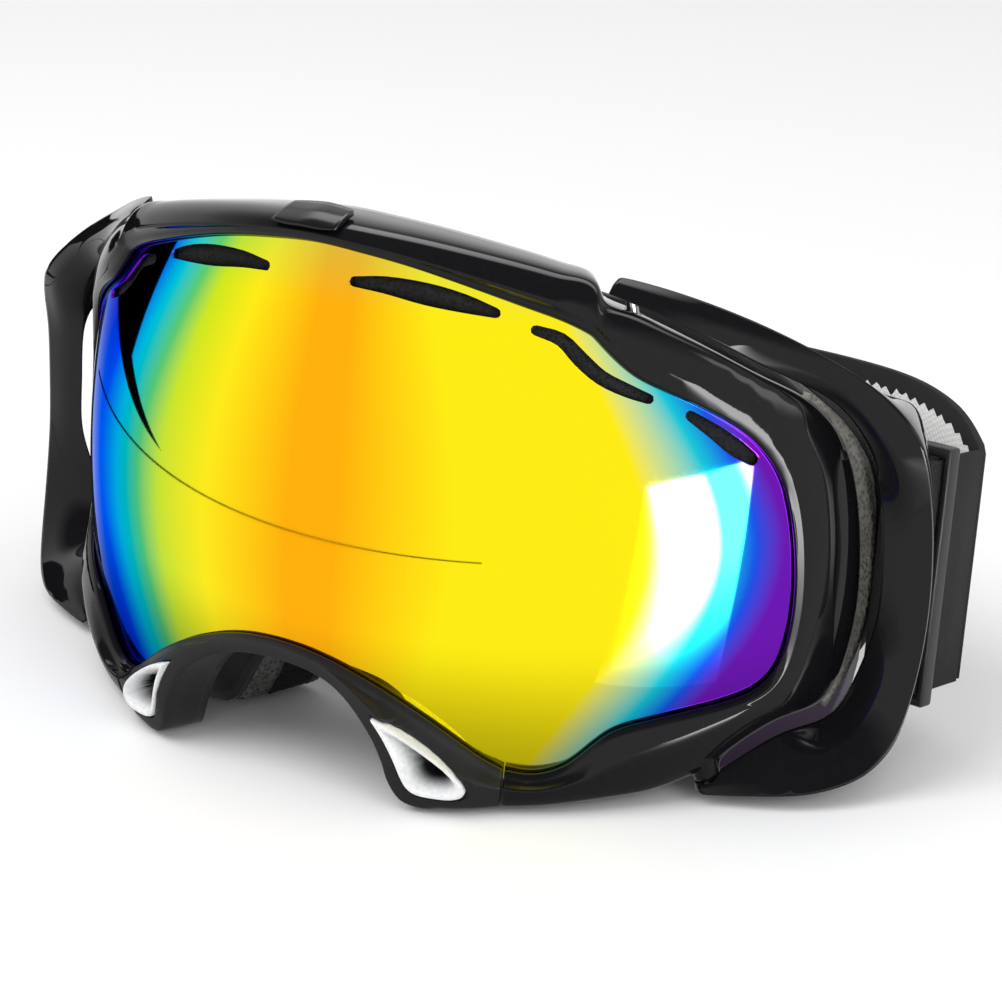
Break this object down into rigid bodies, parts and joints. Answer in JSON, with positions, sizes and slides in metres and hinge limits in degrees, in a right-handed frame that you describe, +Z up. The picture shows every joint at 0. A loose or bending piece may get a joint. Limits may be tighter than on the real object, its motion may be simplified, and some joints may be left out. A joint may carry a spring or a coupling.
{
  "type": "motorcycle goggles",
  "caption": "Wrap-around goggles with a mirror lens, gloss frame, soft nose piece with vents, foam face padding, hinged outriggers and an elastic strap.",
  "frame": {"origin": "centre of the bounding box on the floor the nose piece stands on", "axes": "+X to the wearer's left, -Y towards the lens front, +Z up; the goggle leans back 8 degrees"},
  "size_m": [0.199, 0.1092, 0.1015],
  "materials": {
    "gloss_black": "polished black",
    "satin_black": "satin soft rubber",
    "vent_white": "satin white",
    "mirror_lens": "mirror coated, orange-gold turning blue and violet at the sides",
    "inner_lens": "clear",
    "gasket_foam": "closed-cell foam",
    "chassis_rubber": "matte soft urethane",
    "plate_gloss": "polished black",
    "grey_foam": "open-cell foam",
    "black_foam": "dense foam",
    "fleece": "short brown fleece",
    "strap_web": "woven elastic, black outside, white inside",
    "slot_foam": "vent foam",
    "hinge_steel": "plain steel",
    "slider_plastic": "moulded black"
  },
  "bodies": {
    "goggle": {"front_frame": "gloss_black", "nose_bridge": "satin_black", "nose_vent_left": "vent_white", "nose_vent_right": "vent_white", "outer_lens": "mirror_lens", "inner_lens": "inner_lens", "lens_gasket": "gasket_foam", "chassis": "chassis_rubber", "brow_plate": "plate_gloss", "face_foam_grey": "grey_foam", "side_vent_foam_left": "grey_foam", "side_vent_foam_right": "grey_foam", "face_foam_black": "black_foam", "top_vent_foam_left": "black_foam", "top_vent_foam_right": "black_foam", "face_fleece": "fleece", "strap_rear": "strap_web", "slot_foam_left": "slot_foam", "slot_foam_right": "slot_foam", "hinge_pin_upper_left": "hinge_steel", "hinge_pin_upper_right": "hinge_steel", "hinge_pin_lower_left": "hinge_steel", "hinge_pin_lower_right": "hinge_steel"},
    "outrigger_left": {"outrigger_left": "gloss_black", "strap_bar_left": "hinge_steel", "strap_end_left": "strap_web"},
    "outrigger_right": {"outrigger_right": "gloss_black", "strap_bar_right": "hinge_steel", "strap_end_right": "strap_web"},
    "slider_left": {"slider_left": "slider_plastic"},
    "slider_right": {"slider_right": "slider_plastic"}
  },
  "joints": [
    {"name": "outrigger_swing_left", "type": "hinge", "parent": "goggle", "child": "outrigger_left", "pos_m": [-0.05188, -0.01797, 0.08967], "axis": [0.1977, 0.0013, 0.9803], "range_deg": [0, 15]},
    {"name": "slider_shift_left", "type": "slide", "parent": "outrigger_left", "child": "slider_left", "axis": [-0.1951, 0.9712, -0.1365], "range_m": [0, 0.007]},
    {"name": "outrigger_swing_right", "type": "hinge", "parent": "goggle", "child": "outrigger_right", "pos_m": [0.05188, -0.01797, 0.08967], "axis": [0.1977, -0.0013, -0.9803], "range_deg": [0, 15]},
    {"name": "slider_shift_right", "type": "slide", "parent": "outrigger_right", "child": "slider_right", "axis": [0.1951, 0.9712, -0.1365], "range_m": [0, 0.007]}
  ]
}
